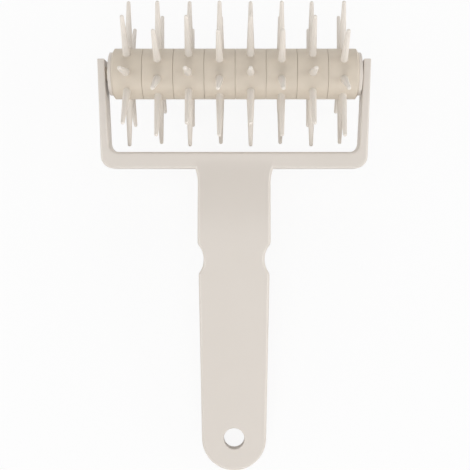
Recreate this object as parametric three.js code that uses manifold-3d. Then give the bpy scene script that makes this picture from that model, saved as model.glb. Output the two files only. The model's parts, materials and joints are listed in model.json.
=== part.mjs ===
// Dough docker: eight spiked rings on a six-sided axle, turning in the yoke of a flat moulded handle.
// Sizes in millimetres, +Z up. The tool lies on a table, on two rows of spike tips and on the back
// of its handle's end. +X runs along the roller, +Y from the handle's end towards the roller.
// The origin is on the table, under the middle of the tool.

import * as THREE from 'three';
import { mergeVertices } from 'three/addons/utils/BufferGeometryUtils.js';
import Module from 'manifold-3d';

const fullTurn = 2 * Math.PI;

// Spiked rings
const ringCount = 8;
const ringWidth = 13.2;
const ringRadius = 11.17;
const ringEdge = 0.35;
const endBevelWidth = 1.3;
const endBevelDepth = 1.5;
const spikesPerRing = 8;
const spikeReach = 32.1;
const spikeRootDiameter = 3.6;
const spikeTipDiameter = 1.9;
const spikeFillet = 0.4;
const spikeSink = 2;

// Axle and end caps
const keyFlats = 6;
const keyAcross = 9;
const journalDiameter = 6;
const journalInset = 0.5;
const capDiameter = 19;
const capThickness = 1.2;
const capEdge = 0.3;

// Clearances, and how far the roller has slid towards the right arm
const seatGap = 0.3;
const runningGap = 0.35;
const rollerSlide = 0.45;

// Yoke
const yokeDepth = 11;
const yokeEdge = 1;
const armReach = 6.1;
const armTipThickness = 3.1;
const armRootThickness = 3.9;
const armSpread = 2.2;
const barClearance = 2.6;
const barHeight = 7.75;
const outerCorner = 6.2;
const innerCorner = 3.2;

// Handle plate, with its places measured down from the crossbar's lower edge
const plateThickness = 5;
const plateEdge = 1.3;
const gripRise = 3.5;
const neckWidth = 31.9;
const neckFlare = 1.2;
const neckFlareLength = 6.4;
const neckLength = 33.2;
const neckBend = 19;
const neckOverlap = 4.5;
const neckOverlapFlare = 1.4;
const gripWidth = 30.9;
const notchPlace = 39.4;
const notchDepth = 2.15;
const notchRadius = 9.8;
const notchLip = 3;
const gripEndRadius = 14;
const handleLength = 131.3;
const hangingHoleDiameter = 9;
const hangingHoleEdge = 0.5;

// Smoothness
const ringFacets = 24;
const spikeFacets = 8;
const roundFacets = 24;
const edgeSteps = 2;
const lipSteps = 3;
const arcSteps = 6;
const endArcSteps = 10;
const neckSteps = 8;

// One overrun for every cut
const overrun = 1;

// Roller, worked out
const ringPitch = ringWidth + seatGap;
const rowWidth = ringCount * ringPitch - seatGap;
const capRadius = capDiameter / 2;
const capCentre = rowWidth / 2 + seatGap + capThickness / 2;
const capFace = capCentre + capThickness / 2;
const tipRadius = spikeTipDiameter / 2;

// Neighbouring rings are threaded one flat of the axle apart, so their rows of spikes interleave.
// The roller rests astride the wider gap between two rows.
const spikeStep = fullTurn / spikesPerRing;
const threadingTurn = fullTurn / keyFlats;
const rowStagger = threadingTurn % spikeStep;
const restGap = spikeStep - rowStagger;
const rollerTurn = spikeStep - rowStagger - restGap / 2;

// Yoke and plate, worked out in the handle's own plane, with the roller's axis at zero
const barInner = spikeReach + barClearance;
const barOuter = barInner + barHeight;
const armLength = armReach + barInner;
const barFront = yokeDepth / 2;
const gripFront = barFront + gripRise;
const gripBack = gripFront - plateThickness;
const neckStart = -barOuter - neckLength;
const neckEnd = neckOverlap - barOuter;
const neckSlope = gripRise / (neckEnd - neckStart - neckBend / 2);
const handleTip = -barOuter - handleLength;
const gripEndCentre = handleTip + gripEndRadius;

// The tool at rest: the height of the roller's axis, then the tilt that lays the handle's end down
const axisHeight = (spikeReach - tipRadius) * Math.cos(restGap / 2) + tipRadius;
const restLength = -handleTip - plateEdge;
const restRise = gripBack + plateEdge;
const handleTilt = Math.asin((axisHeight - plateEdge) / Math.hypot(restLength, restRise))
  + Math.atan2(restRise, restLength);

const ivory = new THREE.MeshStandardMaterial({ color: '#dcd5cd', roughness: 0.42, metalness: 0 });
const warmIvory = new THREE.MeshStandardMaterial({ color: '#d3c6ae', roughness: 0.45, metalness: 0 });

const wasm = await Module();
wasm.setup();

// Solids

function triangles(geometry) {
  const kept = [];
  const { array } = geometry.index;
  for (let i = 0; i < array.length; i += 3) {
    const [a, b, c] = array.slice(i, i + 3);
    if (a !== b && b !== c && c !== a) kept.push(a, b, c);
  }
  return kept;
}

function solid(geometry) {
  const bare = geometry.clone();
  bare.deleteAttribute('normal');
  bare.deleteAttribute('uv');
  const merged = mergeVertices(bare);
  return new wasm.Manifold(new wasm.Mesh({
    numProp: 3,
    vertProperties: new Float32Array(merged.attributes.position.array),
    triVerts: new Uint32Array(triangles(merged)),
  }));
}

function geometryOf(body) {
  const { vertProperties, triVerts } = body.getMesh();
  const geometry = new THREE.BufferGeometry();
  geometry.setAttribute('position', new THREE.BufferAttribute(new Float32Array(vertProperties), 3));
  geometry.setIndex(new THREE.BufferAttribute(new Uint32Array(triVerts), 1));
  geometry.computeVertexNormals();
  return geometry;
}

// Bodies of revolution, from points of (distance from the axis, place along it)
function turnedAlongZ(profile, facets) {
  const points = profile.map(([radius, along]) => new THREE.Vector2(radius, along));
  return new THREE.LatheGeometry(points, facets).rotateX(fullTurn / 4);
}

function turnedAlongX(profile, facets) {
  return turnedAlongZ(profile, facets).rotateY(fullTurn / 4);
}

// A round bar or disc along X, with its edges taken off
function roundBar(radius, halfLength, edge) {
  return turnedAlongX([
    [0, -halfLength],
    [radius - edge, -halfLength],
    [radius, edge - halfLength],
    [radius, halfLength - edge],
    [radius - edge, halfLength],
    [0, halfLength],
  ], roundFacets);
}

// A six-sided prism along X
function keyPrism(across, length) {
  const corner = across / 2 / Math.cos(fullTurn / 2 / keyFlats);
  return new THREE.CylinderGeometry(corner, corner, length, keyFlats).rotateZ(fullTurn / 4);
}

// Roller

function spike() {
  const rootRadius = spikeRootDiameter / 2;
  const taperEnd = spikeReach - tipRadius;
  const domeAngle = fullTurn / 8;
  return turnedAlongZ([
    [0, ringRadius - spikeSink],
    [rootRadius + spikeFillet, ringRadius - spikeSink],
    [rootRadius + spikeFillet, ringRadius - spikeFillet],
    [rootRadius, ringRadius + spikeFillet],
    [tipRadius, taperEnd],
    [tipRadius * Math.cos(domeAngle), taperEnd + tipRadius * Math.sin(domeAngle)],
    [0, spikeReach],
  ], spikeFacets);
}

// Rings meet at fine edges; the open end of the row is bevelled
function ringCore(left, right) {
  const half = ringWidth / 2;
  return turnedAlongX([
    [0, -half],
    [ringRadius - left.depth, -half],
    [ringRadius, left.width - half],
    [ringRadius, half - right.width],
    [ringRadius - right.depth, half],
    [0, half],
  ], ringFacets);
}

function spikedRing(number) {
  const fine = { width: ringEdge, depth: ringEdge };
  const bevel = { width: endBevelWidth, depth: endBevelDepth };
  const left = number === 1 ? bevel : fine;
  const right = number === ringCount ? bevel : fine;
  const bore = keyPrism(keyAcross + 2 * seatGap, ringWidth + 2 * overrun);
  let ring = solid(ringCore(left, right)).subtract(solid(bore));
  for (let k = 0; k < spikesPerRing; k += 1) {
    ring = ring.add(solid(spike().rotateX(k * spikeStep)));
  }
  return geometryOf(ring);
}

function endCap() {
  const bore = keyPrism(keyAcross + 2 * seatGap, capThickness + 2 * overrun);
  return geometryOf(solid(roundBar(capRadius, capThickness / 2, capEdge)).subtract(solid(bore)));
}

function axle() {
  const journalEnd = armOuter(0) - journalInset - rollerSlide;
  const journals = roundBar(journalDiameter / 2, journalEnd, capEdge);
  return geometryOf(solid(keyPrism(keyAcross, 2 * capFace)).add(solid(journals)));
}

// Yoke: a crossbar and two arms that open a little and grow thinner towards their tips

function armInner(along) {
  return capFace + rollerSlide + runningGap + armSpread * (along + capRadius) / armLength;
}

function armOuter(along) {
  const share = (armReach - along) / armLength;
  return armInner(along) + armTipThickness + (armRootThickness - armTipThickness) * share;
}

function yokeOutline() {
  const tipOuter = armOuter(armReach);
  const tipInner = armInner(armReach);
  const throat = armInner(-barInner);
  const heel = armOuter(-barOuter);
  const throatStart = innerCorner - barInner;
  const heelStart = outerCorner - barOuter;
  const outline = new THREE.Shape();
  outline.moveTo(tipOuter, armReach);
  outline.lineTo(tipInner, armReach);
  outline.lineTo(armInner(throatStart), throatStart);
  outline.quadraticCurveTo(throat, -barInner, throat - innerCorner, -barInner);
  outline.lineTo(innerCorner - throat, -barInner);
  outline.quadraticCurveTo(-throat, -barInner, -armInner(throatStart), throatStart);
  outline.lineTo(-tipInner, armReach);
  outline.lineTo(-tipOuter, armReach);
  outline.lineTo(-armOuter(heelStart), heelStart);
  outline.quadraticCurveTo(-heel, -barOuter, outerCorner - heel, -barOuter);
  outline.lineTo(heel - outerCorner, -barOuter);
  outline.quadraticCurveTo(heel, -barOuter, armOuter(heelStart), heelStart);
  return outline;
}

function yoke() {
  return new THREE.ExtrudeGeometry(yokeOutline(), {
    depth: yokeDepth - 2 * yokeEdge,
    curveSegments: arcSteps,
    bevelThickness: yokeEdge,
    bevelSize: yokeEdge,
    bevelOffset: -yokeEdge,
    bevelSegments: edgeSteps,
  }).translate(0, 0, yokeEdge - yokeDepth / 2);
}

// Handle plate: one side of its outline from the crossbar to the tip, as (half width, along)

function arc(centre, radius, from, to, steps) {
  return Array.from({ length: steps + 1 }, (_, i) => {
    const angle = from + (to - from) * i / steps;
    return [centre[0] + radius * Math.cos(angle), centre[1] + radius * Math.sin(angle)];
  });
}

// The plate's root, which lies over the crossbar's front, comes down flush with it and ends inside it
function rootSide() {
  const half = neckWidth / 2 + neckFlare + neckOverlapFlare;
  return [
    [half, (neckEnd - barInner) / 2],
    [half, neckEnd],
  ];
}

function flareSide() {
  const radius = (neckFlareLength ** 2 + neckFlare ** 2) / (2 * neckFlare);
  const sweep = Math.asin(neckFlareLength / radius);
  const centre = [neckWidth / 2 + radius, -barOuter - neckFlareLength];
  return arc(centre, radius, fullTurn / 2 - sweep, fullTurn / 2, arcSteps);
}

// A finger notch: a round scoop with rounded lips towards the neck and the grip, as deep below the
// narrower of the two as its depth says
function notchSide() {
  const narrower = Math.min(neckWidth, gripWidth);
  const centre = [narrower / 2 - notchDepth + notchRadius, -barOuter - notchPlace];
  const lip = (halfWidth, direction) => {
    const across = centre[0] - halfWidth + notchLip;
    const along = Math.sqrt((notchRadius + notchLip) ** 2 - across ** 2);
    return {
      centre: [halfWidth - notchLip, centre[1] + direction * along],
      angle: Math.atan2(along, across),
    };
  };
  const upper = lip(neckWidth / 2, 1);
  const lower = lip(gripWidth / 2, -1);
  const scoop = arc(centre, notchRadius, fullTurn / 2 - upper.angle, fullTurn / 2 + lower.angle, arcSteps);
  return [
    ...arc(upper.centre, notchLip, 0, -upper.angle, lipSteps),
    ...scoop.slice(1, -1),
    ...arc(lower.centre, notchLip, lower.angle, 0, lipSteps),
  ];
}

function plateSide() {
  const flare = flareSide();
  const notch = notchSide();
  const straightStart = flare[arcSteps][1];
  const step = (notch[0][1] - straightStart) / neckSteps;
  const neck = Array.from({ length: neckSteps - 1 }, (_, i) => [neckWidth / 2, straightStart + (i + 1) * step]);
  const gripStart = notch[notch.length - 1][1];
  const taper = Math.atan2(gripWidth / 2 - gripEndRadius, gripStart - gripEndCentre);
  const end = arc([0, gripEndCentre], gripEndRadius, taper, -fullTurn / 4, endArcSteps);
  return [...rootSide(), ...flare, ...neck, ...notch, ...end];
}

// The grip stands above the crossbar's front: the neck bends, then runs straight down to it
function plateFront(along) {
  const past = Math.max(0, along - neckStart);
  const bent = Math.min(past, neckBend);
  return gripFront - neckSlope * (bent ** 2 / (2 * neckBend) + past - bent);
}

// Directions into the plate, square to its outline
function inwardNormals(side) {
  return side.map((point, i) => {
    if (i === 0) return [-1, 0];
    if (i === side.length - 1) return [0, 1];
    const across = side[i + 1][0] - side[i - 1][0];
    const along = side[i + 1][1] - side[i - 1][1];
    const length = Math.hypot(across, along);
    return [along / length, -across / length];
  });
}

// The rounded edge from the plate's back to its front, as (inset, depth below the front)
function plateEdgeProfile() {
  const front = Array.from({ length: edgeSteps + 1 }, (_, i) => {
    const angle = fullTurn / 4 * i / edgeSteps;
    return [plateEdge * (1 - Math.cos(angle)), plateEdge * (1 - Math.sin(angle))];
  });
  const back = front.map(([inset, depth]) => [inset, plateThickness - depth]).reverse();
  return [...back, ...front];
}

// Cross-sections of the plate, one at each point of its side, skinned into one closed body
function plate() {
  const side = plateSide();
  const normals = inwardNormals(side);
  const edge = plateEdgeProfile();
  const positions = [];
  side.forEach(([half, along], i) => {
    const right = edge.map(([inset, depth]) => [
      half + normals[i][0] * inset,
      along + normals[i][1] * inset,
      plateFront(along) - depth,
    ]);
    const left = right.map(([x, y, z]) => [-x, y, z]).reverse();
    positions.push(...right.flat(), ...left.flat());
  });
  const loop = 2 * edge.length;
  const index = [];
  for (let i = 0; i + 1 < side.length; i += 1) {
    for (let j = 0; j < loop; j += 1) {
      const here = i * loop + j;
      const beside = i * loop + (j + 1) % loop;
      index.push(here, beside, beside + loop, here, beside + loop, here + loop);
    }
  }
  for (let j = 1; j + 1 < loop; j += 1) index.push(0, j + 1, j);
  const geometry = new THREE.BufferGeometry();
  geometry.setAttribute('position', new THREE.Float32BufferAttribute(positions, 3));
  geometry.setIndex(index);
  return geometry;
}

// Hanging hole, with its edges eased on both faces
function hangingHole() {
  const radius = hangingHoleDiameter / 2;
  const flare = hangingHoleEdge + overrun;
  return turnedAlongZ([
    [0, gripBack - overrun],
    [radius + flare, gripBack - overrun],
    [radius, gripBack + hangingHoleEdge],
    [radius, gripFront - hangingHoleEdge],
    [radius + flare, gripFront + overrun],
    [0, gripFront + overrun],
  ], roundFacets).translate(0, gripEndCentre, 0);
}

function handleFrame() {
  const journalBores = roundBar(journalDiameter / 2 + runningGap, armOuter(armReach) + overrun, capEdge);
  return geometryOf(solid(yoke())
    .add(solid(plate()))
    .subtract(solid(hangingHole()))
    .subtract(solid(journalBores)));
}

// Assembly

function piece(name, geometry, material) {
  const mesh = new THREE.Mesh(geometry, material);
  mesh.name = name;
  return mesh;
}

function handle() {
  const group = new THREE.Group();
  group.rotation.x = handleTilt;
  group.add(piece('handle_frame', handleFrame(), ivory));
  return group;
}

function roller() {
  const group = new THREE.Group();
  group.position.x = rollerSlide;
  group.rotation.x = rollerTurn;
  group.add(piece('axle', axle(), warmIvory));
  for (let number = 1; number <= ringCount; number += 1) {
    const ring = piece(`spiked_ring_${number}`, spikedRing(number), warmIvory);
    ring.position.x = (number - (ringCount + 1) / 2) * ringPitch;
    ring.rotation.x = number % 2 === 0 ? threadingTurn : 0;
    group.add(ring);
  }
  const caps = [['end_cap_left', -capCentre], ['end_cap_right', capCentre]];
  for (const [name, place] of caps) {
    const cap = piece(name, endCap(), ivory);
    cap.position.x = place;
    group.add(cap);
  }
  return group;
}

const docker = new THREE.Group();
docker.add(handle(), roller());

const box = new THREE.Box3().setFromObject(docker, true);
const middle = box.getCenter(new THREE.Vector3());
docker.position.set(-middle.x, -middle.y, -box.min.z);

export default docker;
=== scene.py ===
import json
import math

import bmesh
import bpy
from mathutils import Matrix, Vector


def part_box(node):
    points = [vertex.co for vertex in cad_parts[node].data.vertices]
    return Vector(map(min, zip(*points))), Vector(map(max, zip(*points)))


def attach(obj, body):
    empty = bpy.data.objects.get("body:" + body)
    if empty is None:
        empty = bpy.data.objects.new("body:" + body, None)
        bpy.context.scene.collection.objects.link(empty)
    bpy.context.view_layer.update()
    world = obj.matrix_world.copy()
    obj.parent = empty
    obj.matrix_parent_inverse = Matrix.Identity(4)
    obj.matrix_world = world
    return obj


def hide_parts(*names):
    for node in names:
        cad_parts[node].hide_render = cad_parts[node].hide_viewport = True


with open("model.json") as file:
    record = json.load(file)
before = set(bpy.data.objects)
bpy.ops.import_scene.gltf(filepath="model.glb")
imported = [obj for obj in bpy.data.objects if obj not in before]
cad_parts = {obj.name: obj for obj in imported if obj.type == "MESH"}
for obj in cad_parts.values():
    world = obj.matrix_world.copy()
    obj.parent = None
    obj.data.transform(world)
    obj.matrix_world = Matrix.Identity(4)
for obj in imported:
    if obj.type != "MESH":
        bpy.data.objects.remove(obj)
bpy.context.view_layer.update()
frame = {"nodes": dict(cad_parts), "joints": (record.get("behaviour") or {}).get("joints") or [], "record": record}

# Dough docker: eight spiked rings turn in the yoke of a flat moulded handle. Sizes are in metres.
# The handle is made lying flat, with +Y along it to the roller and +Z out of its front, and the
# roller is made along +X. Both have the roller's axis at their origin until they are put in place.

MM = 0.001
FULL_TURN = 2 * math.pi

# Yoke
YOKE_DEPTH = 11 * MM
BAR_EDGE = 1 * MM
BAR_TOP_EDGE = 1.3 * MM
ARM_REACH = 6.1 * MM
ARM_TIP_THICKNESS = 3.1 * MM
ARM_ROOT_THICKNESS = 3.9 * MM
ARM_SPREAD = 2.2 * MM
ARM_TIP_CORNER = 0.4 * MM
ARM_TIP_EDGE = 0.3 * MM
BAR_INNER = 34.8 * MM
BAR_HEIGHT = 7.25 * MM
OUTER_CORNER = 5.5 * MM
INNER_CORNER = 4.2 * MM
BORE_DIAMETER = 6.7 * MM
BORE_EDGE = 0.25 * MM

# Handle plate, with its places measured down from the crossbar's lower edge
PLATE_THICKNESS = 5 * MM
PLATE_EDGE = 1.8 * MM
GRIP_RISE = 3.5 * MM
NECK_WIDTH = 31.9 * MM
NECK_FLARE = 1.2 * MM
NECK_FLARE_LENGTH = 6.8 * MM
NECK_LENGTH = 33.6 * MM
NECK_BEND = 19 * MM
NECK_OVERLAP = 4.1 * MM
NECK_OVERLAP_FLARE = 1.4 * MM
NECK_FADE = 4 * MM
GRIP_WIDTH = 30.9 * MM
NOTCH_PLACE = 39.8 * MM
NOTCH_DEPTH = 2.15 * MM
NOTCH_RADIUS = 9.8 * MM
NOTCH_LIP = 3 * MM
GRIP_END_RADIUS = 14 * MM
HANDLE_LENGTH = 131.68 * MM
HOLE_DIAMETER = 9 * MM
HOLE_EDGE = 0.5 * MM

# Roller. Rings that touch have a narrow groove between them, and the row's two outer rings are bevelled.
RING_RADIUS = 11.17 * MM
RING_EDGE = 0.12 * MM
JOINT_WIDTH = 0.15 * MM
JOINT_DEPTH = 0.6 * MM
END_BEVEL_WIDTH = 0.9 * MM
END_BEVEL_DEPTH = 1.5 * MM
SPIKES_PER_RING = 8
SPIKE_REACH = 32.06 * MM
SPIKE_ROOT_DIAMETER = 3.35 * MM
SPIKE_TIP_DIAMETER = 1.7 * MM
SPIKE_FILLET = 0.35 * MM
SPIKE_SINK = 2 * MM
KEY_FLATS = 6
KEY_ACROSS = 9 * MM
KEY_EDGE = 0.3 * MM
JOURNAL_DIAMETER = 6 * MM
JOURNAL_EDGE = 0.4 * MM
CAP_DIAMETER = 19 * MM
CAP_EDGE = 0.35 * MM

# The gap that the CAD leaves between neighbours on the axle, and how far the row's ends go past the CAD's
SEAT_GAP = 0.3 * MM
END_REACH = 0.2 * MM

# How far cutters run on, and how near two points or directions count as the same
OVERRUN = 1 * MM
SAME_PLACE = MM / 200
SAME_DIRECTION = 0.999

# Least angles of what counts as a sharp edge, as an inner edge, and as a bore's rim
SHARP_ANGLE = math.radians(38)
CREASE_ANGLE = math.radians(25)
BORE_RIM_ANGLE = math.radians(60)

# How much of its slope the neck keeps where it meets the crossbar's front
FADE_SHARE = 0.25

# Steps of round stretches
ROUND_STEPS = 96
SPIKE_STEPS = 24
EDGE_STEPS = 4
SPIKE_FILLET_STEPS = 3
KEY_EDGE_STEPS = 2
CORNER_STEPS = 10
ARC_STEPS = 16
END_STEPS = 32
NECK_STEPS = 24

# Plastic, in two shades. Each varies between a light and a dark colour, and the spikes are painted paler: a
# painted glow that stands in for light shining through the slender spikes.
IVORY_LIGHT = (0.715, 0.66, 0.605, 1)
IVORY_DARK = (0.69, 0.635, 0.575, 1)
IVORY_ROUGHNESS = 0.32
WARM_LIGHT = (0.67, 0.59, 0.495, 1)
WARM_DARK = (0.645, 0.57, 0.47, 1)
# The spikes' paler colour: painted light, standing in for light that shines through them
WARM_PAINTED_GLOW = (0.78, 0.725, 0.66, 1)
WARM_ROUGHNESS = 0.47
PLASTIC_IOR = 1.47

# How far up from its ring a spike gets the full painted glow, which starts at the root and so also paints over the
# shade there
PAINTED_GLOW_LENGTH = 0.5 * MM

# Unevenness of the plastic: each noise's size and detail, and how much it changes roughness and relief
CLOUD_SIZE = 26 * MM
CLOUD_DETAIL = 2
GRAIN_SIZE = 0.5 * MM
GRAIN_DETAIL = 3
GRAIN_ROUGHNESS = 0.12
GRAIN_STRENGTH = 0.25
GRAIN_RELIEF = 0.02 * MM
WAVE_SIZE = 9 * MM
WAVE_DETAIL = 1
WAVE_ROUGHNESS = 0.06
WAVE_STRENGTH = 0.3
WAVE_RELIEF = 0.08 * MM
NOISE_MIDDLE = 0.5

# Floor and sky. The camera sees the floor as nearly white under the tool and as white further off.
WHITE = (1, 1, 1, 1)
FLOOR_SIZE = 4
FLOOR_COLOUR = (0.85, 0.85, 0.85, 1)
FLOOR_WHITE = 0.88
SHADOW_REACH = 1
SKY_STRENGTH = 0.3

# Soft lamps round the tool. Each has its turn round the handle's front, its tip away from it, both in
# degrees, its width and its power in watts. Those tipped past the grazing tip are hidden from
# reflections, so that the flat faces don't turn white when they are seen from the side.
LAMP_DISTANCE = 1.2
GRAZING_TIP = 60
LAMPS = (
    ("lamp over the handle", 0, 4, 0.6, 1.24),
    ("high lamp beyond the handle", 0, 50, 0.9, 3.7),
    ("low lamp beyond the handle", 0, 75, 0.9, 3.8),
    ("high lamp on the left", -90, 30, 0.9, 2),
    ("low lamp on the left", -90, 78, 0.9, 5),
    ("high lamp on the right", 90, 30, 0.9, 1.5),
    ("low lamp on the right", 90, 78, 0.9, 7.5),
    ("lamp beyond the roller", 180, 75, 0.9, 3.6),
)

# Lamps that are seen only as highlights on round rims, in the same terms
GLINTS = (
    ("glint lamp on the left", -90, 48, 0.7, 5),
    ("glint lamp on the right", 90, 48, 0.7, 5),
)

# Camera, square to the handle's front, in the frame of the handle and in the pixels of its picture
SENSOR = 36
IMAGE_PIXELS = 470
FOCAL_PIXELS = 906
CENTRE_PIXEL = (248.4, 200)
CAMERA_PLACE = (6.23 * MM, -55.95 * MM, 402.6 * MM)
CAMERA_CLIP = 10 * MM

# Neighbouring rings are threaded one flat of the axle apart, and the roller rests astride a gap
SPIKE_STEP = FULL_TURN / SPIKES_PER_RING
THREADING_TURN = FULL_TURN / KEY_FLATS
ROW_STAGGER = THREADING_TURN % SPIKE_STEP
ROLLER_TURN = (SPIKE_STEP - ROW_STAGGER) / 2

# Places taken from the frame
roller_axis = Vector(frame["joints"][0]["pos_m"])
mounts = {mount["name"]: mount for mount in frame["record"]["mounts"]}
across = Vector((1, 0, 0))
handle_front = Vector(mounts["hanging_face_front"]["axis"]).normalized()
handle_along = handle_front.cross(across)
handle_turn = Matrix((across, handle_along, handle_front)).transposed().to_4x4()
handle_place = Matrix.Translation((0, roller_axis.y, roller_axis.z)) @ handle_turn
roller_place = Matrix.Translation(roller_axis) @ Matrix.Rotation(ROLLER_TURN, 4, "X")
tip_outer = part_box("handle_frame")[1].x

# Places worked out in the handle's own plane
bar_outer = BAR_INNER + BAR_HEIGHT
arm_length = ARM_REACH + BAR_INNER
bar_front = YOKE_DEPTH / 2
grip_front = bar_front + GRIP_RISE
grip_back = grip_front - PLATE_THICKNESS
neck_start = -bar_outer - NECK_LENGTH
neck_end = NECK_OVERLAP - bar_outer
grip_end = GRIP_END_RADIUS - bar_outer - HANDLE_LENGTH
neck_slope = GRIP_RISE / (neck_end - neck_start - NECK_BEND / 2 - NECK_FADE * (1 - FADE_SHARE) / 2)


# Making and joining meshes

def tidied(bm):
    bmesh.ops.remove_doubles(bm, verts=bm.verts, dist=SAME_PLACE)
    bmesh.ops.recalc_face_normals(bm, faces=bm.faces)
    return bm


def mesh_of(bm, name):
    mesh = bpy.data.meshes.new(name)
    bm.to_mesh(mesh)
    bm.free()
    return mesh


def laid_in(bm, name, place=Matrix.Identity(4)):
    """The bmesh as an object at the origin, with its place in its mesh."""
    bm.transform(place)
    made = bpy.data.objects.new(name, mesh_of(bm, name))
    bpy.context.scene.collection.objects.link(made)
    return made


def combined(first, second, operation):
    """Two closed bmeshes joined, or the second cut from the first."""
    body = laid_in(first, "body")
    tool = laid_in(second, "tool")
    boolean = body.modifiers.new("boolean", "BOOLEAN")
    boolean.operation = operation
    boolean.object = tool
    boolean.solver = "EXACT"
    shape = body.evaluated_get(bpy.context.evaluated_depsgraph_get())
    result = bmesh.new()
    result.from_mesh(shape.to_mesh())
    bpy.data.objects.remove(body)
    bpy.data.objects.remove(tool)
    return tidied(result)


def finished(piece, material, body, node):
    """Smooth shading that keeps flat faces flat, a material and a place in its body, with the CAD node that it
    stands for hidden.
    """
    piece.data.shade_smooth()
    piece.data.set_sharp_from_angle(angle=SHARP_ANGLE)
    weighted = piece.modifiers.new("flat faces", "WEIGHTED_NORMAL")
    weighted.keep_sharp = True
    piece.data.materials.append(material)
    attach(piece, body)
    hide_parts(node)


def rounded(bm, edges, radius, steps=EDGE_STEPS, clamped=True):
    bmesh.ops.bevel(bm, geom=edges, offset=radius, affect="EDGES", segments=steps, profile=0.5,
                    material=-1, clamp_overlap=clamped)


def slab(outline, low, high):
    """The closed outline of (x, y) points, filled and raised from low to high."""
    bm = bmesh.new()
    face = bm.faces.new([bm.verts.new((x, y, low)) for x, y in outline])
    raised = bmesh.ops.extrude_face_region(bm, geom=[face])["geom"]
    top = [v for v in raised if isinstance(v, bmesh.types.BMVert)]
    bmesh.ops.translate(bm, verts=top, vec=(0, 0, high - low))
    return tidied(bm)


def rounded_outline(corners):
    """Points and rim radii along the outline through corners of (x, y, corner radius, rim radius)."""
    points = []
    for before, (x, y, radius, rim), after in zip(corners[-1:] + corners, corners, corners[1:] + corners):
        here = Vector((x, y))
        back = (Vector(before[:2]) - here).normalized()
        onward = (Vector(after[:2]) - here).normalized()
        half = back.angle(onward) / 2
        centre = here + (back + onward).normalized() * radius / math.sin(half)
        spoke = here + back * radius / math.tan(half) - centre
        sweep = math.copysign(FULL_TURN / 2 - 2 * half, onward.cross(back))
        for i in range(CORNER_STEPS + 1):
            turned_spoke = Matrix.Rotation(sweep * i / CORNER_STEPS, 2) @ spoke
            points.append((centre + turned_spoke, rim))
    return points


def soft_slab(points, half):
    """A clockwise outline of (point, rim radius), raised to both sides with its rims rounded."""
    bm = bmesh.new()
    rings = []
    for side, turns in ((-1, quarter_turns()), (1, reversed(quarter_turns()))):
        for turn in turns:
            ring = []
            for (before, _), (point, rim), (after, _) in zip(points[-1:] + points, points,
                                                             points[1:] + points[:1]):
                along = (after - before).normalized()
                place = point + Vector((along.y, -along.x)) * rim * (1 - math.sin(turn))
                height = half - rim * (1 - math.cos(turn))
                ring.append(bm.verts.new((*place, side * height)))
            rings.append(ring)
    for lower, upper in zip(rings, rings[1:]):
        for i in range(len(points)):
            bm.faces.new((lower[i - 1], lower[i], upper[i], upper[i - 1]))
    bm.faces.new(rings[0])
    bm.faces.new(rings[-1])
    return tidied(bm)


def round_rims(bm, radius):
    """Rounds the rims of a slab's front and back."""
    bm.normal_update()
    rims = [e for e in bm.edges if any(abs(f.normal.z) > SAME_DIRECTION for f in e.link_faces)]
    rounded(bm, rims, radius)


def reach(vert):
    """How far a vertex lies from the roller's axis before it is put in place."""
    return math.hypot(vert.co.y, vert.co.z)


def turned(profile, steps=ROUND_STEPS):
    """Points of (distance from the axis, place along it), spun about X."""
    bm = bmesh.new()
    points = [bm.verts.new((along, radius, 0)) for radius, along in profile]
    line = [bm.edges.new(pair) for pair in zip(points, points[1:])]
    bmesh.ops.spin(bm, geom=points + line, cent=(0, 0, 0), axis=(1, 0, 0), angle=FULL_TURN,
                   steps=steps, use_merge=True, use_duplicate=False)
    return tidied(bm)


def key_prism(width, length):
    """A six-sided prism along X, as wide as it says across its flats."""
    corner = width / 2 / math.cos(FULL_TURN / 2 / KEY_FLATS)
    bm = bmesh.new()
    bmesh.ops.create_cone(bm, cap_ends=True, segments=KEY_FLATS, radius1=corner, radius2=corner,
                          depth=length, matrix=Matrix.Rotation(FULL_TURN / 4, 4, "Y"))
    return tidied(bm)


def quarter_turns():
    return [FULL_TURN / 4 * i / EDGE_STEPS for i in range(EDGE_STEPS + 1)]


def quarter(radius):
    """A quarter round from one face to the next, as (inset from the one, depth below the other)."""
    return [(radius * (1 - math.cos(turn)), radius * (1 - math.sin(turn))) for turn in quarter_turns()]


def arc(centre, radius, start, end, steps):
    turns = [start + (end - start) * i / steps for i in range(steps + 1)]
    return [(centre[0] + radius * math.cos(turn), centre[1] + radius * math.sin(turn))
            for turn in turns]


# Handle

def arm_inner(along):
    return tip_outer - ARM_TIP_THICKNESS - ARM_SPREAD * (ARM_REACH - along) / arm_length


def arm_outer(along):
    thickening = (ARM_ROOT_THICKNESS - ARM_TIP_THICKNESS) * (ARM_REACH - along) / arm_length
    return arm_inner(along) + ARM_TIP_THICKNESS + thickening


def yoke():
    """The crossbar and its two arms."""
    right = [
        (arm_inner(-BAR_INNER), -BAR_INNER, INNER_CORNER, BAR_TOP_EDGE),
        (arm_inner(ARM_REACH), ARM_REACH, ARM_TIP_CORNER, ARM_TIP_EDGE),
        (arm_outer(ARM_REACH), ARM_REACH, ARM_TIP_CORNER, ARM_TIP_EDGE),
        (arm_outer(-bar_outer), -bar_outer, OUTER_CORNER, BAR_EDGE),
    ]
    left = [(-x, *rest) for x, *rest in reversed(right)]
    return soft_slab(rounded_outline(right + left), bar_front)


def flare_side():
    radius = (NECK_FLARE_LENGTH ** 2 + NECK_FLARE ** 2) / (2 * NECK_FLARE)
    sweep = math.asin(NECK_FLARE_LENGTH / radius)
    centre = (NECK_WIDTH / 2 + radius, -bar_outer - NECK_FLARE_LENGTH)
    return arc(centre, radius, FULL_TURN / 2 - sweep, FULL_TURN / 2, ARC_STEPS)


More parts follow.
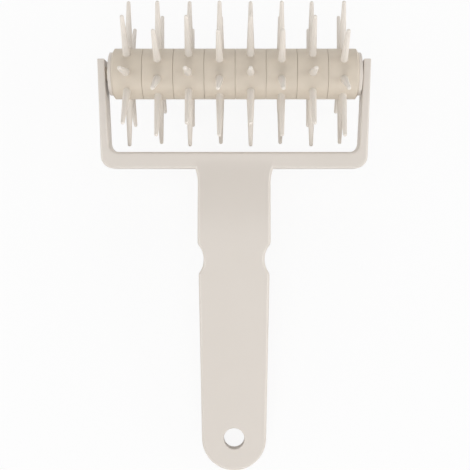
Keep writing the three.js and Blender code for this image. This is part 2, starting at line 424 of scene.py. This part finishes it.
def notch_side():
    """A finger notch: a round scoop with rounded lips towards the neck and the grip."""
    narrower = min(NECK_WIDTH, GRIP_WIDTH)
    centre = (narrower / 2 - NOTCH_DEPTH + NOTCH_RADIUS, -bar_outer - NOTCH_PLACE)
    lips = []
    for half_width, direction in ((NECK_WIDTH / 2, 1), (GRIP_WIDTH / 2, -1)):
        over = centre[0] - half_width + NOTCH_LIP
        along = math.sqrt((NOTCH_RADIUS + NOTCH_LIP) ** 2 - over ** 2)
        lips.append(((half_width - NOTCH_LIP, centre[1] + direction * along), math.atan2(along, over)))
    (upper, upper_turn), (lower, lower_turn) = lips
    scoop = arc(centre, NOTCH_RADIUS, FULL_TURN / 2 - upper_turn, FULL_TURN / 2 + lower_turn, ARC_STEPS)
    return [
        *arc(upper, NOTCH_LIP, 0, -upper_turn, CORNER_STEPS),
        *scoop[1:-1],
        *arc(lower, NOTCH_LIP, lower_turn, 0, CORNER_STEPS),
    ]


def plate_outline():
    """The plate's outline, from inside the crossbar round the handle's end and back."""
    root = NECK_WIDTH / 2 + NECK_FLARE + NECK_OVERLAP_FLARE
    notch = notch_side()
    taper = math.atan2(GRIP_WIDTH / 2 - GRIP_END_RADIUS, notch[-1][1] - grip_end)
    side = [
        (root, (neck_end - BAR_INNER) / 2),
        (root, neck_end),
        *flare_side(),
        *notch,
        *arc((0, grip_end), GRIP_END_RADIUS, taper, -FULL_TURN / 4, END_STEPS),
    ]
    return side + [(-x, y) for x, y in reversed(side[:-1])]


def neck_drop(along):
    """How far the neck's front has come down from the grip's: it bends, runs straight and fades out
    to a shallow slope where it meets the crossbar's front."""
    past = max(0, along - neck_start)
    bent = min(past, NECK_BEND)
    faded = max(0, along - neck_end + NECK_FADE)
    fading = min(faded, NECK_FADE)
    fade = (1 - FADE_SHARE) * (fading ** 2 / (2 * NECK_FADE) + faded - fading)
    return neck_slope * (bent ** 2 / (2 * NECK_BEND) + past - bent - fade)


def plate():
    """The neck and the grip: a slab with round rims, bent down to meet the crossbar's front."""
    bm = slab(plate_outline(), grip_back, grip_front)
    round_rims(bm, PLATE_EDGE)
    for i in range(NECK_STEPS + 1):
        along = neck_start + (neck_end - neck_start) * i / NECK_STEPS
        bmesh.ops.bisect_plane(bm, geom=bm.verts[:] + bm.edges[:] + bm.faces[:], dist=SAME_PLACE,
                               plane_co=(0, along, 0), plane_no=(0, 1, 0))
    for v in bm.verts:
        v.co.z -= neck_drop(v.co.y)
    return bm


def hanging_hole():
    """The cutter for the hanging hole, flared at both faces so that the rims come out round."""
    radius = HOLE_DIAMETER / 2
    top = [(radius + inset, grip_front - depth) for inset, depth in quarter(HOLE_EDGE)]
    top += [(radius + HOLE_EDGE, grip_front + OVERRUN), (0, grip_front + OVERRUN)]
    bottom = [(distance, grip_back + grip_front - place) for distance, place in reversed(top)]
    bm = turned(bottom + top)
    bm.transform(Matrix.Translation((0, grip_end, 0)) @ Matrix.Rotation(-FULL_TURN / 4, 4, "Y"))
    return bm


def bore_rims(bm):
    radius = BORE_DIAMETER / 2
    return [e for e in bm.edges if e.is_manifold and e.calc_face_angle() > BORE_RIM_ANGLE
            and all(abs(reach(v) - radius) < SAME_PLACE for v in e.verts)]


def handle(material):
    bm = combined(combined(yoke(), plate(), "UNION"), hanging_hole(), "DIFFERENCE")
    end = tip_outer + OVERRUN
    bore = turned([(0, -end), (BORE_DIAMETER / 2, -end), (BORE_DIAMETER / 2, end), (0, end)])
    bm = combined(bm, bore, "DIFFERENCE")
    rounded(bm, bore_rims(bm), BORE_EDGE)
    finished(laid_in(tidied(bm), "handle", handle_place), material, "handle",
             "handle_frame")


# Roller

def disc(radius, low, high, low_rim, high_rim):
    """A disc along X from low to high, with its rims as lists of (inset along it, depth)."""
    profile = [(0, low)]
    profile += [(radius - depth, low + inset) for inset, depth in low_rim]
    profile += [(radius - depth, high - inset) for inset, depth in reversed(high_rim)]
    profile.append((0, high))
    return turned(profile)


def bored(bm):
    return combined(bm, key_prism(KEY_ACROSS + 2 * SEAT_GAP, 2 * tip_outer), "DIFFERENCE")


def spikes():
    """The spikes of one ring, each tapered and round-tipped, standing out from inside the ring."""
    root = SPIKE_ROOT_DIAMETER / 2
    tip = SPIKE_TIP_DIAMETER / 2
    dome = arc((SPIKE_REACH - tip, 0), tip, FULL_TURN / 4, 0, EDGE_STEPS)
    profile = [(0, RING_RADIUS - SPIKE_SINK), (root, RING_RADIUS - SPIKE_SINK), (root, RING_RADIUS)]
    profile += [(distance, place) for place, distance in dome]
    single = turned(profile, SPIKE_STEPS)
    single.transform(Matrix.Rotation(-FULL_TURN / 4, 4, "Y"))
    stalk = mesh_of(single, "spike")
    bm = bmesh.new()
    for k in range(SPIKES_PER_RING):
        before = len(bm.verts)
        bm.from_mesh(stalk)
        turn = Matrix.Rotation(k * SPIKE_STEP, 3, "X")
        bmesh.ops.rotate(bm, verts=bm.verts[before:], cent=(0, 0, 0), matrix=turn)
    return bm


def joint_rim():
    """The rim of a ring's face that touches its neighbour, with half of the narrow groove between."""
    wall = [(0, JOINT_DEPTH), *quarter(RING_EDGE)]
    return [(0, JOINT_DEPTH), *((JOINT_WIDTH / 2 + inset, depth) for inset, depth in wall)]


def spike_roots(ring):
    """The inner edges round the spikes' roots, which lie further out than those in the grooves."""
    nearest = RING_RADIUS - JOINT_DEPTH / 2
    return [e for e in ring.edges if e.is_manifold and e.calc_face_angle_signed() < -CREASE_ANGLE
            and all(reach(v) > nearest for v in e.verts)]


def spiked_ring(number, count):
    """One ring moulding: its core, with the open end of the row bevelled, and its spikes."""
    low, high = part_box(f"spiked_ring_{number}")
    half = (high.x - low.x) / 2
    joint = (SEAT_GAP / 2, joint_rim())
    end = (END_REACH, [(0, END_BEVEL_DEPTH), (END_BEVEL_WIDTH, 0)])
    low_reach, low_rim = end if number == 1 else joint
    high_reach, high_rim = end if number == count else joint
    core = disc(RING_RADIUS, -half - low_reach, half + high_reach, low_rim, high_rim)
    ring = combined(bored(core), spikes(), "UNION")
    rounded(ring, spike_roots(ring), SPIKE_FILLET, SPIKE_FILLET_STEPS, clamped=False)
    return ring, (low.x + high.x) / 2


def roller(ivory, warm_ivory):
    rings = [name for name in frame["nodes"] if name.startswith("spiked_ring_")]
    for number in range(1, len(rings) + 1):
        bm, place = spiked_ring(number, len(rings))
        threading = Matrix.Rotation(0 if number % 2 else THREADING_TURN, 4, "X")
        shift = Matrix.Translation((place - roller_axis.x, 0, 0))
        piece = laid_in(bm, f"docking_ring_{number}", roller_place @ shift @ threading)
        finished(piece, warm_ivory, "roller", f"spiked_ring_{number}")
    for side in ("left", "right"):
        end_cap(side, ivory)
    axle(warm_ivory)


def end_cap(side, material):
    low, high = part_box(f"end_cap_{side}")
    open_end = (END_REACH, quarter(CAP_EDGE))
    seam = (SEAT_GAP - END_REACH, quarter(RING_EDGE))
    (low_reach, low_rim), (high_reach, high_rim) = (open_end, seam) if side == "left" else (seam, open_end)
    start = low.x - roller_axis.x - low_reach
    end = high.x - roller_axis.x + high_reach
    bm = bored(disc(CAP_DIAMETER / 2, start, end, low_rim, high_rim))
    finished(laid_in(bm, f"cap_{side}", roller_place), material, "roller",
             f"end_cap_{side}")


def axle(material):
    """A six-sided rod with a round journal at each end."""
    half = (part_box("axle")[1].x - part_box("axle")[0].x) / 2
    key_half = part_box("end_cap_right")[1].x - roller_axis.x + END_REACH
    rod = key_prism(KEY_ACROSS, 2 * key_half)
    rounded(rod, rod.edges[:], KEY_EDGE, KEY_EDGE_STEPS)
    rim = quarter(JOURNAL_EDGE)
    bm = combined(tidied(rod), disc(JOURNAL_DIAMETER / 2, -half, half, rim, rim), "UNION")
    finished(laid_in(bm, "keyed_axle", roller_place), material, "roller", "axle")


# Materials

class Value:
    """A socket that does sums: each operator adds its Math node."""

    def __init__(self, tree, socket):
        self.tree = tree
        self.socket = socket

    def math(self, operation, first, second):
        return self.tree.node("ShaderNodeMath", {"operation": operation}, {0: first, 1: second})[0]

    def __add__(self, other):
        return self.math("ADD", self, other)

    def __radd__(self, other):
        return self.math("ADD", other, self)

    def __sub__(self, other):
        return self.math("SUBTRACT", self, other)

    def __rsub__(self, other):
        return self.math("SUBTRACT", other, self)

    def __mul__(self, other):
        return self.math("MULTIPLY", self, other)

    def __rmul__(self, other):
        return self.math("MULTIPLY", other, self)

    def __truediv__(self, other):
        return self.math("DIVIDE", self, other)

    def __rtruediv__(self, other):
        return self.math("DIVIDE", other, self)


class Node:
    """A node whose outputs are read as values, by place or by name."""

    def __init__(self, tree, made):
        self.tree = tree
        self.made = made

    def __getitem__(self, output):
        return Value(self.tree, self.made.outputs[output])


class Tree:
    """The nodes of a material or of the world."""

    def __init__(self, owner):
        owner.use_nodes = True
        self.owner = owner
        self.nodes = owner.node_tree.nodes
        self.links = owner.node_tree.links
        self.nodes.clear()

    def node(self, kind, settings=None, inputs=None):
        made = self.nodes.new(kind)
        for name, setting in (settings or {}).items():
            setattr(made, name, setting)
        for name, value in (inputs or {}).items():
            if isinstance(value, Value):
                self.links.new(value.socket, made.inputs[name])
            else:
                made.inputs[name].default_value = value
        return Node(self, made)

    def mixed(self, share, first, second):
        """Two colours mixed: sockets 6 and 7 are a Mix node's colours, and output 2 its result."""
        return self.node("ShaderNodeMix", {"data_type": "RGBA"}, {0: share, 6: first, 7: second})[2]


def off_the_axis(tree, place):
    """The distance from the roller's axis."""
    parts = tree.node("ShaderNodeSeparateXYZ", None, {0: place})
    along = parts["Y"] - roller_axis.y
    up = parts["Z"] - roller_axis.z
    return tree.node("ShaderNodeMath", {"operation": "SQRT"}, {0: along * along + up * up})[0]


def moulded_plastic(name, light, dark, roughness, painted_glow=None):
    """Satin moulded plastic: faintly cloudy resin, a fine grain and slightly uneven gloss. A third colour, paler,
    is painted on the spikes: a painted glow that stands in for light shining through the slender spikes."""
    tree = Tree(bpy.data.materials.new(name))
    place = tree.node("ShaderNodeTexCoord")["Object"]

    def noise(size, detail):
        inputs = {"Vector": place, "Scale": 1 / size, "Detail": detail}
        return tree.node("ShaderNodeTexNoise", None, inputs)[0]

    cloud = noise(CLOUD_SIZE, CLOUD_DETAIL)
    grain = noise(GRAIN_SIZE, GRAIN_DETAIL)
    waves = noise(WAVE_SIZE, WAVE_DETAIL)
    colour = tree.mixed(cloud, dark, light)
    # Painted glow: from their roots outward the spikes turn to a paler colour that stands in for light shining
    # through them, and that also paints over the shade at their roots
    if painted_glow:
        share = (off_the_axis(tree, place) - RING_RADIUS) / PAINTED_GLOW_LENGTH
        colour = tree.mixed(share, colour, painted_glow)
    grain_change = (grain - NOISE_MIDDLE) * GRAIN_ROUGHNESS
    wave_change = (waves - NOISE_MIDDLE) * WAVE_ROUGHNESS
    fine = tree.node("ShaderNodeBump", None,
                     {"Strength": GRAIN_STRENGTH, "Distance": GRAIN_RELIEF, "Height": grain})
    relief = tree.node("ShaderNodeBump", None, {"Strength": WAVE_STRENGTH, "Distance": WAVE_RELIEF,
                                                "Height": waves, "Normal": fine["Normal"]})
    surface = tree.node("ShaderNodeBsdfPrincipled", None, {
        "Base Color": colour,
        "Roughness": roughness + grain_change + wave_change,
        "IOR": PLASTIC_IOR,
        "Normal": relief["Normal"],
    })
    tree.node("ShaderNodeOutputMaterial", None, {"Surface": surface[0]})
    return tree.owner


def floor_paint():
    """A pale floor that the camera sees as white, with a faint shadow that fades out with distance."""
    tree = Tree(bpy.data.materials.new("floor paint"))
    seen = tree.node("ShaderNodeLightPath")["Is Camera Ray"]
    place = tree.node("ShaderNodeTexCoord")["Object"]
    distance = tree.node("ShaderNodeVectorMath", {"operation": "LENGTH"}, {0: place})["Value"]
    share = seen * (FLOOR_WHITE + distance * ((1 - FLOOR_WHITE) / SHADOW_REACH))
    paint = tree.node("ShaderNodeBsdfDiffuse", None, {"Color": FLOOR_COLOUR})
    white = tree.node("ShaderNodeEmission", None, {"Color": WHITE, "Strength": 1})
    surface = tree.node("ShaderNodeMixShader", None, {0: share, 1: paint[0], 2: white[0]})
    tree.node("ShaderNodeOutputMaterial", None, {"Surface": surface[0]})
    return tree.owner


# Stage, light and camera

def floor():
    bm = bmesh.new()
    bmesh.ops.create_grid(bm, x_segments=1, y_segments=1, size=FLOOR_SIZE / 2)
    bmesh.ops.recalc_face_normals(bm, faces=bm.faces)
    made = laid_in(bm, "floor")
    made.data.materials.append(floor_paint())


def sky():
    """An even light all round, which the camera sees as white."""
    world = bpy.data.worlds.new("studio")
    bpy.context.scene.world = world
    tree = Tree(world)
    seen = tree.node("ShaderNodeLightPath")["Is Camera Ray"]
    dim = tree.node("ShaderNodeBackground", None, {"Color": WHITE, "Strength": SKY_STRENGTH})
    white = tree.node("ShaderNodeBackground", None, {"Color": WHITE, "Strength": 1})
    surface = tree.node("ShaderNodeMixShader", None, {0: seen, 1: dim[0], 2: white[0]})
    tree.node("ShaderNodeOutputWorld", None, {"Surface": surface[0]})


def lamp(name, turn, tip, width, power):
    """A soft round lamp that faces the tool."""
    light = bpy.data.lights.new(name, "AREA")
    light.shape = "DISK"
    light.size = width
    light.energy = power
    made = bpy.data.objects.new(name, light)
    made.visible_glossy = tip < GRAZING_TIP
    around = Matrix.Rotation(math.radians(turn), 4, "Z") @ Matrix.Rotation(math.radians(tip), 4, "X")
    made.matrix_world = handle_turn @ around @ Matrix.Translation((0, 0, LAMP_DISTANCE))
    bpy.context.scene.collection.objects.link(made)
    return made


def camera():
    """Square to the handle's face, as the photograph was taken."""
    lens = bpy.data.cameras.new("camera")
    lens.sensor_width = SENSOR
    lens.lens = FOCAL_PIXELS / IMAGE_PIXELS * SENSOR
    lens.shift_x = (IMAGE_PIXELS / 2 - CENTRE_PIXEL[0]) / IMAGE_PIXELS
    lens.shift_y = (CENTRE_PIXEL[1] - IMAGE_PIXELS / 2) / IMAGE_PIXELS
    lens.clip_start = CAMERA_CLIP
    made = bpy.data.objects.new("camera", lens)
    made.matrix_world = handle_place @ Matrix.Translation(CAMERA_PLACE)
    bpy.context.scene.collection.objects.link(made)
    bpy.context.scene.camera = made


ivory = moulded_plastic("ivory plastic", IVORY_LIGHT, IVORY_DARK, IVORY_ROUGHNESS)
warm_ivory = moulded_plastic("warm ivory plastic", WARM_LIGHT, WARM_DARK, WARM_ROUGHNESS, WARM_PAINTED_GLOW)
handle(ivory)
roller(ivory, warm_ivory)
floor()
sky()
for setting in LAMPS:
    lamp(*setting)
for setting in GLINTS:
    lamp(*setting).visible_diffuse = False
camera()
bpy.context.scene.view_settings.view_transform = "Standard"
